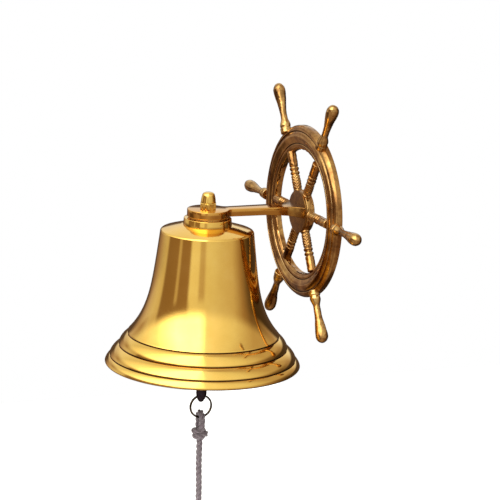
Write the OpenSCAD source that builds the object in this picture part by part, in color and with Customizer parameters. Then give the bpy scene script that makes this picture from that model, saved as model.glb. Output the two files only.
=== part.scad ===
// Ship bell hung from a bracket arm on a ship's-wheel wall plate, in millimetres.
// The wheel's back lies on the wall, at Y = 0, and the bell stands out from it along -Y.

/* [Wheel] */
// Outer radius of the rim
rim_r = 67; // [60:0.5:75]
// Inner radius of the rim
rim_inner_r = 48.4; // [46:0.2:50]
// Height of the rim's crest off the wall
crest_h = 7.9; // [7.5:0.1:9]
// Height of the rim's outer wall
rim_edge_h = 5; // [4:0.1:6]
// Radius of the hub, and of the arm's foot on it
hub_r = 16.5; // [16:0.1:18]
// Thickness of the hub
hub_t = 6.2; // [5:0.1:7]
// Height of the spokes' centre lines off the wall
spoke_plane = 3.8; // [3.7:0.1:3.9]
// Height of the handles' centre lines off the wall
handle_plane = 5; // [5:0.1:6]
// Distance from the wheel's centre to a handle's tip
handle_tip_r = 106; // [98:0.5:115]
// Largest radius of a handle
handle_r = 4.8; // [4:0.1:4.9]
// Radius of a handle's neck
neck_r = 2.65; // [2.2:0.05:3.2]
// Angle of the first spoke from the top of the wheel
first_spoke = -30; // [-30:1:30]
// Diameter of the circle of tapped wall holes in the rim's back
wall_pcd = 115; // [112:0.5:118]
// Radius of a tapped wall hole
wall_hole_r = 1.65; // [1.5:0.05:2]

/* [Arm] */
// Distance from the wall to the bell's axis
reach = 82.4; // [80:0.2:90]
// Level of the arm's top face above the wheel's centre
arm_top = 5.6; // [4:0.1:7]
// Thickness of the eye over the bell
eye_t = 5.8; // [5:0.1:7]
// Radius of the eye
eye_r = 16; // [15:0.1:18]
// Half width of the bar beside the eye
bar_half_w = 6; // [5:0.1:7]
// Half width of the bar halfway along
bar_mid_half_w = 7.5; // [7:0.1:8]
// Half width of the bar at its foot
bar_foot_half_w = 14; // [12:0.2:15]
// Thickness of the foot flange
foot_t = 1.6; // [1.2:0.1:2.5]
// How far the bar's underside drops at the foot
foot_drop = 2.8; // [1:0.1:4]

/* [Bell] */
// Radius of the mouth
mouth_r = 75.6; // [74.5:0.1:78]
// Height from shoulder to mouth
bell_h = 106.4; // [106:0.1:110]
// Radius of the shoulder
shoulder_r = 35.3; // [34:0.1:35.6]
// How far the crown rises from the shoulder to its flat top
crown_rise = 4.2; // [3:0.1:5]
// Thickness of the crown
crown_t = 3.5; // [3:0.1:4]
// Radius that the waist starts from under the shoulder
waist_r0 = 35.9; // [35.6:0.1:36.5]
// How fast the waist widens, per millimetre of height
waist_taper = 0.12; // [0.1:0.01:0.14]
// How much the flare adds at the first groove
flare = 13.3; // [12:0.1:14]
// Power of the flare's curve
flare_power = 4.8; // [4:0.1:5.5]
// Thickness of the waist's wall
wall_t = 2.6; // [2:0.1:3]
// Depth of the turned grooves
groove_d = 0.8; // [0.4:0.1:1.2]
// Width of the turned grooves
groove_w = 0.7; // [0.4:0.1:1.2]

/* [Collar and clamp] */
// Height of the conical collar
collar_h = 5.5; // [5:0.1:7]
// Radius of the collar at its foot
collar_foot_r = 18.8; // [18:0.1:20]
// Radius of the collar at its top
collar_top_r = 18.2; // [17:0.1:19]
// Thickness of the thin washer between collar and eye
gap_t = 1.1; // [0.8:0.1:1.5]
// Radius of the clamping stud
stud_r = 4; // [3:0.1:4]
// Width across the flats of the dome nut
nut_af = 12; // [11:0.1:14]
// Height of the dome nut's hexagon
nut_hex_h = 5; // [4:0.1:6]
// Height of the whole dome nut
nut_h = 13; // [12:0.1:15]
// Turn of the dome nut about the bell's axis
nut_turn = 7; // [0:1:60]

/* [Clapper] */
// Radius of the clapper's rod
rod_r = 3; // [2.5:0.1:3.5]
// Radius of the striking ball
ball_r = 11.5; // [9:0.1:12]
// Level of the ball's centre
ball_z = -97; // [-100:1:-94]
// Level of the tail's tip
tail_tip_z = -148.2; // [-150:0.2:-146]
// Radius of the tail
tail_r = 4; // [3.6:0.1:4.2]
// Radius of the wire that the eyes are bent from
eye_wire_r = 1.25; // [1:0.05:1.4]
// Radius of the link's wire
link_wire_r = 1.1; // [0.9:0.05:1.2]
// Radius of the split ring's centre line
ring_r = 8.65; // [8.5:0.05:9]
// Radius of the split ring's wire
ring_wire_r = 0.75; // [0.7:0.05:0.8]

/* [Lanyard] */
// Diameter of the cord
cord_d = 5; // [4.6:0.1:5.2]
// Radius of the knot under the ring
knot_r = 7; // [6.5:0.1:7.5]
// Radius of the knot at the cord's end
end_knot_r = 7.4; // [7:0.1:8]

/* [Hidden] */
$fn = 96;

golden = "gold";
antique = "peru";
iron = "dimgray";
cotton = "rosybrown";

hand_count = 6;
hand_step = 360 / hand_count;
peg_r = 0.8;
peg_depth = 4;

eye_bottom = arm_top - eye_t;
foot_front = hub_t + foot_t;
screw_x = 7;
screw_z = 1.5;
screw_r = 1.9;
screw_len = 12;
screw_head_r = 3.7;
screw_head_h = 2;

collar_top = eye_bottom - gap_t;
crown_top = collar_top - collar_h;
shoulder_z = crown_top - crown_rise;
crown_inside = crown_top - crown_t;

washer_t = 1.5;
inner_nut_h = 5;
inner_nut_bottom = crown_inside - washer_t - inner_nut_h;
stud_top = arm_top + 8.5;
stud_hole_r = stud_r + 0.2;
stud_eye_r = 4;
stud_wire_r = 1.6;
stud_eye_z = inner_nut_bottom - 9;

link_r = 6.5;
clapper_eye_r = 4;
clapper_eye_z = stud_eye_z - 2 * link_r;

ring_hole_r = 1.6;
ring_hole_z = tail_tip_z + 4.9;
ring_z = ring_hole_z - ring_r + 0.35;
ring_bottom = ring_z - ring_r;

eye_bend_r = 3.6;
leg_bottom = ring_bottom - 6;
end_knot_h = 12;
tassel_len = 18;

// The cord's route below its knot: [X, Y from the bell's axis, Z]
route = [[0, 0, -179], [0.4, -0.2, -189], [0.9, -0.3, -199], [1.2, 0, -209], [1.1, 0.4, -219],
         [0.7, 0.6, -229], [0.2, 0.4, -239], [-0.2, 0.2, -249], [-0.3, 0, -259], [0, 0, -269]];
cord_sides = 10;
cord_end = route[len(route) - 1][2];
knot_h = leg_bottom - route[0][2];

barrel_r = 3.65;
groove_r = 2.8;
bead_r = 3.65;
barrel_from = hub_r + 1.7;
barrel_to = 29;
bead_at = [29.8, 33.3];
bead_len = 2.8;
plain_from = 37;
plain_r = 3.5;
spoke_end = rim_inner_r + 3.2;
base_r = 4.2;
base_to = rim_r + 3.5;
neck_at = rim_r + 10.5;
bulb_at = handle_tip_r - 6;
wall_hole_depth = 6;
flare_len = 12.5;
gap_washer_r = 14;
inner_washer_r = 11;
tail_from = -118;

// Points of an arc from p to q that turns by 2 * half; it bulges to the left, or to the right if half < 0
function arc(p, q, half, steps) =
    let (d = q - p, chord = norm(d), r = chord / (2 * sin(half)), u = d / chord,
         n = [-u[1], u[0]], c = (p + q) / 2 - n * r * cos(half))
    [for (i = [0:steps]) let (a = -half + 2 * half * i / steps) c + r * (cos(a) * n + sin(a) * u)];

// Smooth step from 0 to 1
function ease(u) = (1 - cos(180 * u)) / 2;

// off_wall turns +Z to point away from the wall; along_hand points it along spoke i
module off_wall() rotate([90, 0, 0]) children();
module along_hand(i, plane) translate([0, -plane, 0]) rotate([0, first_spoke + i * hand_step, 0]) children();
module on_bell_axis(z) translate([0, -reach, z]) children();
module wire_ring(r, wire_r) rotate_extrude() translate([r, 0]) circle(wire_r, $fn = 32);
module ring_plate(h, r, bore_r)
    difference() {
        cylinder(h = h, r = r);
        translate([0, 0, -1]) cylinder(h = h + 2, r = bore_r);
    }

// ---- Wheel

band_r = [rim_r - 0.7, 62.8, 58.2, 52.9];
band_h = [rim_edge_h + 0.9, crest_h - 0.9, crest_h, crest_h - 0.9];
inner_band_h = [crest_h - 1.7, 5.2];
band_step = 0.5;
band_groove = 0.4;

module rim_outline()
    polygon(concat(
        [[rim_inner_r, 0], [rim_r, 0], [rim_r, rim_edge_h]],
        arc([band_r[0], band_h[0]], [band_r[1], band_h[1]], -14, 5),
        [[band_r[1] - 0.1, band_h[1] - band_groove], [band_r[1] - band_step, band_h[1] - band_groove]],
        arc([band_r[1] - band_step - 0.1, band_h[1]], [band_r[2], band_h[2]], -10, 5),
        arc([band_r[2] - band_step, band_h[2]], [band_r[3], band_h[3]], -10, 5),
        [[band_r[3] - 0.1, inner_band_h[0]]],
        arc([band_r[3] - band_step, inner_band_h[0]], [rim_inner_r + 0.3, inner_band_h[1]], -10, 4),
        [[rim_inner_r, inner_band_h[1] - 0.4]]));

module rim_ring() off_wall() rotate_extrude() rim_outline();

module hand_pegs(from, to)
    for (i = [0:hand_count - 1])
        along_hand(i, spoke_plane) translate([0, 0, from]) cylinder(h = to - from, r = peg_r);

module wheel_rim()
    color(antique)
    difference() {
        rim_ring();
        hand_pegs(rim_inner_r - 2, rim_inner_r + peg_depth);
        for (i = [0:2])
            rotate([0, i * 120, 0]) translate([0, 1, wall_pcd / 2]) rotate([90, 0, 0])
                cylinder(h = 1 + wall_hole_depth, r = wall_hole_r);
    }

module wheel_hub()
    color(antique)
    difference() {
        off_wall() cylinder(h = hub_t, r = hub_r);
        hand_pegs(hub_r - peg_depth, hub_r + 2);
        for (x = [-screw_x, screw_x])
            translate([x, 0, screw_z]) off_wall() {
                cylinder(h = hub_t + 1, r = screw_r);
                cylinder(h = screw_head_h, r1 = screw_head_r, r2 = screw_r);
            }
    }

// A bead from s to s + bead_len along the spoke
function bead(s) = arc([groove_r, s], [groove_r, s + bead_len], -65, 8);

module spoke_outline()
    polygon(concat(
        [[0, hub_r - 2], [bead_r, hub_r - 2], [bead_r, hub_r + 1.1], [groove_r, hub_r + 1.3],
         [groove_r, barrel_from - 0.1]],
        arc([barrel_r - 0.2, barrel_from], [barrel_r - 0.2, barrel_to], -5, 6),
        [[groove_r, barrel_to + 0.1]],
        bead(bead_at[0]),
        bead(bead_at[1]),
        [[groove_r, plain_from - 0.1], [plain_r, plain_from], [plain_r - 0.1, spoke_end], [0, spoke_end]]));

module spoke(i)
    color(antique)
    union() {
        difference() {
            along_hand(i, spoke_plane) rotate_extrude() spoke_outline();
            off_wall() translate([0, 0, -1]) cylinder(h = 3 * spoke_plane, r = hub_r);
            off_wall() translate([0, 0, -1])
                difference() {
                    cylinder(h = 3 * spoke_plane, r = rim_r);
                    cylinder(h = 3 * spoke_plane, r = rim_inner_r);
                }
        }
        along_hand(i, spoke_plane) translate([0, 0, hub_r - peg_depth])
            cylinder(h = rim_inner_r - hub_r + 2 * peg_depth, r = peg_r);
    }

// Radius of a handle at distance s from the wheel's centre
function neck_to_bulb(s) = neck_r + (handle_r - neck_r) * ease(pow((s - neck_at) / (bulb_at - neck_at), 1.3));
function base_to_neck(s) = base_r - (base_r - neck_r) * ease((s - base_to) / (neck_at - base_to));

module handle_outline()
    polygon(concat(
        [[0, rim_r - 2], [base_r + 0.2, rim_r - 2], [base_r + 0.2, rim_r + 1.2], [base_r - 0.3, rim_r + 1.4],
         [base_r - 0.3, rim_r + 1.8]],
        [for (k = [0:8]) let (s = base_to + (neck_at - base_to) * k / 8) [base_to_neck(s), s]],
        [for (k = [1:14]) let (s = neck_at + (bulb_at - neck_at) * k / 14) [neck_to_bulb(s), s]],
        [for (a = [11.25:11.25:90]) [handle_r * cos(a), bulb_at + (handle_tip_r - bulb_at) * sin(a)]]));

module handle(i)
    color(antique)
    difference() {
        along_hand(i, handle_plane) rotate_extrude() handle_outline();
        off_wall() translate([0, 0, -1]) cylinder(h = 3 * handle_plane, r = rim_r);
    }

// ---- Arm

flare_r = (pow(bar_foot_half_w - bar_mid_half_w, 2) + pow(flare_len, 2))
    / (2 * (bar_foot_half_w - bar_mid_half_w));
fillet_r = 5;
fillet_x = bar_half_w + fillet_r;
fillet_y = sqrt(pow(eye_r + fillet_r, 2) - pow(fillet_x, 2));
fillet_touch = [fillet_x, fillet_y] * eye_r / (eye_r + fillet_r);

module arm_plan() {
    translate([0, -reach]) circle(eye_r);
    polygon([[-bar_half_w, -reach], [bar_half_w, -reach], [bar_half_w, fillet_y - reach],
             [bar_mid_half_w, -foot_front - flare_len], [bar_mid_half_w, -foot_front],
             [-bar_mid_half_w, -foot_front], [-bar_mid_half_w, -foot_front - flare_len],
             [-bar_half_w, fillet_y - reach]]);
    for (side = [-1, 1])
        difference() {
            polygon([[0, fillet_y - reach], [side * bar_half_w, fillet_y - reach],
                     [side * fillet_touch[0], fillet_touch[1] - reach], [0, -reach]]);
            translate([side * fillet_x, fillet_y - reach]) circle(fillet_r);
        }
    for (side = [-1, 1])
        difference() {
            translate([side * (bar_mid_half_w + bar_foot_half_w) / 2, -foot_front - flare_len / 2])
                square([bar_foot_half_w - bar_mid_half_w + 0.01, flare_len], center = true);
            translate([side * (bar_mid_half_w + flare_r), -foot_front - flare_len]) circle(flare_r);
        }
}

module arm_side()
    polygon(concat(
        [[-reach - eye_r - 1, arm_top], [-reach - eye_r - 1, eye_bottom]],
        [for (k = [0:10]) let (y = -reach / 2 + (reach / 2 - foot_front) * k / 10)
            [y, eye_bottom - foot_drop * pow(k / 10, 2)]],
        [[-foot_front, arm_top]]));

module arm()
    color(golden)
    difference() {
        union() {
            intersection() {
                translate([0, 0, -20]) linear_extrude(40) arm_plan();
                rotate([90, 0, 90]) translate([0, 0, -40]) linear_extrude(80) arm_side();
            }
            off_wall() translate([0, 0, hub_t]) {
                cylinder(h = foot_t - 0.4, r = hub_r);
                translate([0, 0, foot_t - 0.4]) cylinder(h = 0.4, r1 = hub_r, r2 = hub_r - 0.4);
            }
        }
        on_bell_axis(eye_bottom - 1) cylinder(h = eye_t + 2, r = stud_hole_r);
        for (x = [-screw_x, screw_x])
            translate([x, 0, screw_z]) off_wall() cylinder(h = screw_len, r = screw_r);
    }

module arm_screws()
    color("gray")
    for (x = [-screw_x, screw_x])
        translate([x, 0, screw_z]) off_wall()
            difference() {
                union() {
                    cylinder(h = screw_len, r = screw_r);
                    cylinder(h = screw_head_h, r1 = screw_head_r, r2 = screw_r);
                }
                translate([-screw_head_r, -0.5, -1]) cube([2 * screw_head_r, 1, 1.9]);
            }

// ---- Bell: every outline point is [radius, depth under the shoulder]

groove_at = [[waist_r(81.5), 81.5], [65.4, 90.7], [72.2, 99.2]];
lip_at = [mouth_r, bell_h - 1.4];
function waist_r(t) = waist_r0 + waist_taper * t + flare * pow(t / 81.5, flare_power);
function below(p) = [p[0], -p[1]];
function groove(p) = [p, p + [-groove_d, 0.1], p + [-groove_d, groove_w], p + [0, groove_w + 0.1]];
function band(p, q) = arc(below(p + [0, groove_w + 0.1]), below(q), 22, 6);

waist_steps = 24;
waist_outside = [for (k = [0:waist_steps - 1]) let (t = 1 + (groove_at[0][1] - 1) * k / waist_steps)
    [waist_r(t), -t]];
waist_inside = [for (k = [waist_steps:-1:1]) let (t = crown_rise + crown_t + 1
    + (groove_at[0][1] - crown_rise - crown_t - 1) * k / waist_steps) [waist_r(t) - wall_t, -t]];

module bell_outline()
    polygon(concat(
        [[0, crown_rise], [collar_foot_r + 0.5, crown_rise]],
        arc([collar_foot_r + 0.5, crown_rise], [shoulder_r - 0.4, 0.1], 3, 5),
        [[shoulder_r, -0.1], [shoulder_r + 0.3, -0.4]],
        waist_outside,
        [for (p = groove(groove_at[0])) below(p)],
        band(groove_at[0], groove_at[1]),
        [for (p = groove(groove_at[1])) below(p)],
        band(groove_at[1], groove_at[2]),
        [for (p = groove(groove_at[2])) below(p)],
        band(groove_at[2], lip_at),
        arc(below(lip_at), [mouth_r - 1.6, -bell_h], 35, 4),
        [[mouth_r - 4.6, -bell_h], [mouth_r - 5, 0.5 - bell_h]],
        waist_inside,
        [[waist_r(8) - wall_t - 1.5, crown_rise - crown_t - 1.2],
         [waist_r(8) - wall_t - 5, crown_rise - crown_t], [0, crown_rise - crown_t]]));

module bell_body()
    color(golden)
    on_bell_axis(shoulder_z)
        difference() {
            rotate_extrude() bell_outline();
            translate([0, 0, crown_rise - crown_t - 1]) cylinder(h = crown_t + 2, r = stud_hole_r);
        }

module collar()
    color(golden)
    on_bell_axis(crown_top)
        difference() {
            rotate_extrude()
                polygon([[0, 0], [collar_foot_r - 0.3, 0], [collar_foot_r, 0.3],
                         [collar_top_r, collar_h - 0.3], [collar_top_r - 0.3, collar_h], [0, collar_h]]);
            translate([0, 0, -1]) cylinder(h = collar_h + 2, r = stud_hole_r);
        }

module gap_washer()
    color("saddlebrown")
    on_bell_axis(collar_top) ring_plate(gap_t, gap_washer_r, stud_hole_r);

dome_foot_r = nut_af / 2;
dome_top_r = dome_foot_r - 1.3;

module dome_nut()
    color(golden)
    on_bell_axis(arm_top)
        rotate([0, 0, nut_turn])
            difference() {
                union() {
                    intersection() {
                        cylinder(h = nut_hex_h, r = nut_af / 2 / cos(30), $fn = 6);
                        rotate_extrude()
                            polygon([[0, 0], [nut_af / 2 + 0.5, 0], [nut_af / 2 + 1, 0.4],
                                     [nut_af / 2 + 1, nut_hex_h - 0.5], [nut_af / 2, nut_hex_h],
                                     [0, nut_hex_h]]);
                    }
                    rotate_extrude()
                        polygon(concat(
                            [[0, nut_hex_h - 1], [dome_foot_r - 0.2, nut_hex_h - 1]],
                            arc([dome_foot_r - 0.2, nut_hex_h], [dome_top_r, nut_h - 1.6], -6, 5),
                            arc([dome_top_r, nut_h - 1.6], [dome_top_r - 2.2, nut_h - 0.2], -28, 5),
                            [[0, nut_h]]));
                }
                translate([0, 0, -1]) cylinder(h = stud_top - arm_top + 1.5, r = stud_r);
            }

module stud()
    color("goldenrod")
    on_bell_axis(0) {
        translate([0, 0, stud_eye_z + stud_eye_r])
            cylinder(h = stud_top - stud_eye_z - stud_eye_r, r = stud_r);
        translate([0, 0, stud_eye_z]) rotate([90, 0, 0]) wire_ring(stud_eye_r, stud_wire_r);
    }

module inner_washer()
    color("goldenrod")
    on_bell_axis(crown_inside - washer_t) ring_plate(washer_t, inner_washer_r, stud_hole_r);

module inner_nut()
    color("goldenrod")
    on_bell_axis(inner_nut_bottom)
        difference() {
            cylinder(h = inner_nut_h, r = 6.5 / cos(30), $fn = 6);
            translate([0, 0, -1]) cylinder(h = inner_nut_h + 2, r = stud_r);
        }

// ---- Clapper

module clapper_link()
    color(iron)
    on_bell_axis(stud_eye_z - link_r) rotate([0, 90, 0]) wire_ring(link_r, link_wire_r);

module clapper_outline() {
    rod_from = clapper_eye_z - clapper_eye_r;
    polygon(concat(
        [[0, rod_from], [rod_r - 0.6, rod_from], [rod_r, rod_from - 4], [rod_r, ball_z + ball_r]],
        [for (k = [3:17]) [ball_r * sin(10 * k), ball_z + ball_r * cos(10 * k)]],
        [[rod_r + 0.4, ball_z - ball_r], [rod_r + 0.4, tail_from + 6], [tail_r, tail_from],
         [tail_r, tail_tip_z + 7.5]],
        [for (k = [1:8]) [tail_r * cos(90 * k / 8), tail_tip_z + 7.5 - 7.5 * sin(90 * k / 8)]]));
}

module clapper()
    color(iron)
    on_bell_axis(0)
        difference() {
            union() {
                rotate_extrude() clapper_outline();
                translate([0, 0, clapper_eye_z]) rotate([90, 0, 0]) wire_ring(clapper_eye_r, eye_wire_r);
            }
            translate([0, 0, ring_hole_z]) rotate([90, 0, 0])
                cylinder(h = 3 * tail_r, r = ring_hole_r, center = true);
        }

module split_ring()
    color(iron)
    on_bell_axis(ring_z) rotate([0, 90, 0]) wire_ring(ring_r, ring_wire_r);

// ---- Lanyard

module lanyard_eye()
    color(cotton)
    on_bell_axis(ring_bottom) {
        rotate([90, 0, 0]) rotate_extrude(angle = 180) translate([eye_bend_r, 0]) circle(cord_d / 2);
        for (x = [-eye_bend_r, eye_bend_r])
            translate([x, 0, leg_bottom - ring_bottom])
                cylinder(h = ring_bottom - leg_bottom, r = cord_d / 2);
    }

module knot_body(r, h, top)
    on_bell_axis(top - h)
        rotate_extrude()
            polygon(concat([[0, 0]], arc([r * 0.45, 0], [r * 0.45, h], -72, 14), [[0, h]]));

module lanyard_knot() color(cotton) knot_body(knot_r, knot_h, leg_bottom);

// The points of the cord's section at route point c
function cord_section(c) =
    [for (k = [0:cord_sides - 1]) let (a = 360 * k / cord_sides) c + cord_d / 2 * [cos(a), sin(a), 0]];

module lanyard_cord()
    color(cotton)
    on_bell_axis(0)
        polyhedron(
            points = [for (c = route) each cord_section(c)],
            faces = concat(
                [[for (k = [0:cord_sides - 1]) k]],
                [for (j = [0:len(route) - 2], k = [0:cord_sides - 1])
                    let (a = j * cord_sides, b = a + cord_sides, m = (k + 1) % cord_sides)
                    [a + k, b + k, b + m, a + m]],
                [[for (k = [cord_sides - 1:-1:0]) (len(route) - 1) * cord_sides + k]]));

module lanyard_end_knot() color(cotton) knot_body(end_knot_r, end_knot_h, cord_end);

module lanyard_tassel()
    color(cotton)
    on_bell_axis(cord_end - end_knot_h - tassel_len)
        rotate_extrude()
            polygon([[0, 0], [4, 0], [4.4, 3], [3.4, tassel_len - 3], [2.9, tassel_len], [0, tassel_len]]);

wheel_rim();
wheel_hub();
for (i = [1:hand_count]) spoke(i - 1);
for (i = [1:hand_count]) handle(i - 1);
arm();
arm_screws();
bell_body();
collar();
gap_washer();
dome_nut();
stud();
inner_washer();
inner_nut();
clapper_link();
clapper();
split_ring();
lanyard_eye();
lanyard_knot();
lanyard_cord();
lanyard_end_knot();
lanyard_tassel();
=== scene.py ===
"""Looks for a ship's bell that hangs from a bracket on a wheel-shaped wall plate.

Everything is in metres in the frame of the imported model: the wall is the plane Y = 0, the bell stands
out along -Y, and Z is up. Lengths in the builders are in millimetres and are scaled by MM.
"""

import math

import bmesh
import bpy
import numpy as np
from mathutils import Matrix, Vector, noise


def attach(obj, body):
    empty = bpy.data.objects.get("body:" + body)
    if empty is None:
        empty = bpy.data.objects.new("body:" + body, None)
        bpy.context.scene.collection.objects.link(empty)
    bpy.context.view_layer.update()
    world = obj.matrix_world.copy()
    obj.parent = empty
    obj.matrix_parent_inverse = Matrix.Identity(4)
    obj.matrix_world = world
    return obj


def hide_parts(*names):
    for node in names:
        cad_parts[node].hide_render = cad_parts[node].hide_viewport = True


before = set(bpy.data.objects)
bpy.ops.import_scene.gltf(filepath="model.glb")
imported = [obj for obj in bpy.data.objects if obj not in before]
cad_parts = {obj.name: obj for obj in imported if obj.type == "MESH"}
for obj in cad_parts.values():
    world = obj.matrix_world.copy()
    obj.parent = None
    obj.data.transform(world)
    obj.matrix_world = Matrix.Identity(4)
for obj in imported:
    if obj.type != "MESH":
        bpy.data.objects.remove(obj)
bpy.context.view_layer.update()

MM = 0.001
ROOT = "mount_and_bell"
BODY_LANYARD = "lanyard"

# Sizes of the object, in millimetres
REACH = 82.4
ARM_TOP = 5.6
EYE_T = 5.8
EYE_R = 16
EYE_BOTTOM = ARM_TOP - EYE_T
WASHER_GAP = 1.1
COLLAR_H = 5.5
COLLAR_TOP = EYE_BOTTOM - WASHER_GAP
CROWN_TOP = COLLAR_TOP - COLLAR_H
CROWN_RISE = 4.2
SHOULDER_Z = CROWN_TOP - CROWN_RISE
STUD_HOLE_R = 4.2
WAIST_H = 81.5
WALL_T = 2.6
BELL_H = 106.4
MOUTH_R = 75.6
LIP_ROUND = 1.4
HUB_R = 16.5
HUB_T = 6.2
FOOT_FRONT = 7.8
RIM_R = 67
RIM_INNER_R = 48.4
HAND_TIP = 106
SPOKE_PLANE = 3.8
HANDLE_PLANE = 5
TAIL_TIP = -148.2
RING_HOLE_Z = -143.3
RING_Z = -151.6
RING_R = 8.65
RING_BOTTOM = RING_Z - RING_R
CORD_D = 5
LEG_BOTTOM = -166.25

# Camera: its place in metres, and its heading, downward tilt and roll in degrees
CAMERA_AT = (1.72834, -0.79227, 0.40442)
CAMERA_ANGLES = (66.65, 12.957, 2.35)
CAMERA_LENS = 180

# The light tent is turned by this many degrees, so that its angle 0 lies toward the camera
TENT_TURN = 22.3

# Half width and height of the floor, in metres
FLOOR_HALF = 0.9
FLOOR_Z = -0.42


# ---------------------------------------------------------------- camera


def add_camera():
    yaw, pitch, roll = (math.radians(angle) for angle in CAMERA_ANGLES)
    ahead = Vector((-math.sin(yaw) * math.cos(pitch), math.cos(yaw) * math.cos(pitch), -math.sin(pitch)))
    level = Vector((math.cos(yaw), math.sin(yaw), 0))
    up = level.cross(ahead)
    right = level * math.cos(roll) + up * math.sin(roll)
    up = up * math.cos(roll) - level * math.sin(roll)
    data = bpy.data.cameras.new("camera")
    data.lens = CAMERA_LENS
    data.sensor_width = 36
    data.clip_start = 0.05
    camera = bpy.data.objects.new("camera", data)
    place = Matrix((right, up, -ahead)).transposed().to_4x4()
    place.translation = Vector(CAMERA_AT)
    camera.matrix_world = place
    bpy.context.scene.collection.objects.link(camera)
    bpy.context.scene.camera = camera


# ---------------------------------------------------------------- node graphs


class Graph:
    """Builds a node tree from short calls."""

    def __init__(self, tree):
        self.tree = tree
        tree.nodes.clear()

    def add(self, kind, **settings):
        node = self.tree.nodes.new(kind)
        for name, value in settings.items():
            setattr(node, name, value)
        return node

    def put(self, value, socket):
        if isinstance(value, bpy.types.NodeSocket):
            self.tree.links.new(value, socket)
        elif value is not None:
            socket.default_value = value

    def math(self, operation, a, b=None, c=None):
        node = self.add("ShaderNodeMath", operation=operation)
        for value, socket in zip((a, b, c), node.inputs):
            self.put(value, socket)
        return node.outputs[0]

    def vector(self, operation, a, b=None):
        node = self.add("ShaderNodeVectorMath", operation=operation)
        self.put(a, node.inputs[0])
        self.put(b, node.inputs[1])
        return node.outputs[0]

    def mapping(self, vector, scale=(1, 1, 1), rotation=(0, 0, 0)):
        node = self.add("ShaderNodeMapping")
        self.put(vector, node.inputs["Vector"])
        node.inputs["Scale"].default_value = scale
        node.inputs["Rotation"].default_value = rotation
        return node.outputs[0]

    def noise(self, vector, scale, detail, roughness):
        node = self.add("ShaderNodeTexNoise")
        self.put(vector, node.inputs["Vector"])
        node.inputs["Scale"].default_value = scale
        node.inputs["Detail"].default_value = detail
        node.inputs["Roughness"].default_value = roughness
        return node.outputs[0]

    def voronoi(self, vector, scale):
        node = self.add("ShaderNodeTexVoronoi")
        self.put(vector, node.inputs["Vector"])
        node.inputs["Scale"].default_value = scale
        return node.outputs["Distance"]

    def span(self, value, low, high, to_low=0.0, to_high=1.0):
        """Eases from to_low to to_high as the value goes from low to high."""
        node = self.add("ShaderNodeMapRange", interpolation_type="SMOOTHSTEP")
        for item, socket in zip((value, low, high, to_low, to_high), node.inputs):
            self.put(item, socket)
        return node.outputs[0]

    def ramp(self, value, stops):
        node = self.add("ShaderNodeValToRGB")
        self.put(value, node.inputs[0])
        elements = node.color_ramp.elements
        while len(elements) < len(stops):
            elements.new(0.5)
        for element, (at, colour) in zip(elements, stops):
            element.position = at
            element.color = (*colour, 1)
        return node.outputs[0]

    def mix(self, share, a, b):
        node = self.add("ShaderNodeMix", data_type="RGBA")
        self.put(share, node.inputs[0])
        self.put(rgba(a), node.inputs[6])
        self.put(rgba(b), node.inputs[7])
        return node.outputs[2]

    def attribute(self, name):
        return self.add("ShaderNodeAttribute", attribute_name=name).outputs["Fac"]

    def bump(self, height, strength, distance, normal=None):
        node = self.add("ShaderNodeBump")
        node.inputs["Strength"].default_value = strength
        node.inputs["Distance"].default_value = distance
        self.put(height, node.inputs["Height"])
        self.put(normal, node.inputs["Normal"])
        return node.outputs[0]


def rgba(value):
    if isinstance(value, (tuple, list)) and len(value) == 3:
        return (*value, 1)
    return value


def new_material(name):
    material = bpy.data.materials.new(name)
    material.use_nodes = True
    graph = Graph(material.node_tree)
    shader = graph.add("ShaderNodeBsdfPrincipled")
    output = graph.add("ShaderNodeOutputMaterial")
    graph.put(shader.outputs[0], output.inputs["Surface"])
    return material, graph, shader


def object_point(graph):
    return graph.add("ShaderNodeTexCoord").outputs["Object"]


def set_metal(g, shader, tone, rough, normal, metallic=1.0):
    g.put(tone, shader.inputs["Base Color"])
    g.put(rough, shader.inputs["Roughness"])
    g.put(normal, shader.inputs["Normal"])
    shader.inputs["Metallic"].default_value = metallic


# ---------------------------------------------------------------- materials


def polished_brass(name, streaks=1.0, dull_from=None, tint=(1, 1, 1)):
    """Mirror brass with a faint polishing grain, painted shade in its hollows and a soft haze.

    dull_from gives two Y positions: between them the brass turns from bright to darker and rougher.
    """
    material, g, shader = new_material(name)
    point = object_point(g)
    haze = g.noise(point, 28, 4, 0.6)
    spots = g.noise(point, 260, 3, 0.7)
    grain = g.noise(g.mapping(point, (60, 60, 2600)), 1.0, 3, 0.6)
    hollow = g.attribute("hollow")
    stops = [(0.3, (0.80, 0.49, 0.10)), (0.55, (0.86, 0.55, 0.125)), (0.75, (0.90, 0.60, 0.16))]
    tone = g.ramp(haze, stops)
    tone = g.mix(g.span(spots, 0.62, 0.8, 0, 0.25), tone, (0.62, 0.36, 0.10))
    tone = g.vector("MULTIPLY", tone, tint)
    # Painted shade: grooves and inner corners turn near black.
    tone = g.mix(g.span(hollow, 0.04, 0.3, 0, 0.95), tone, (0.06, 0.024, 0.008))
    rough = g.math("MULTIPLY_ADD", haze, 0.08, 0.055)
    if dull_from:
        split = g.add("ShaderNodeSeparateXYZ")
        g.put(point, split.inputs[0])
        dull = g.span(split.outputs[1], dull_from[0] * MM, dull_from[1] * MM)
        patches = g.math("MULTIPLY", g.span(haze, 0.25, 0.7, 1.0, 0.75),
                         g.span(spots, 0.4, 0.65, 1.0, 0.8))
        tone = g.mix(g.math("MULTIPLY", dull, patches), tone, (0.105, 0.038, 0.014))
        rough = g.math("MULTIPLY_ADD", dull, 0.14, rough)
    rough = g.math("MULTIPLY_ADD", g.span(hollow, 0.15, 0.7), 0.3, rough)
    rough = g.math("MULTIPLY_ADD", g.span(spots, 0.6, 0.8), 0.10, rough)
    set_metal(g, shader, tone, rough, g.bump(grain, 0.05 * streaks, 0.00012, g.bump(haze, 0.10, 0.0004)))
    return material


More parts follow.
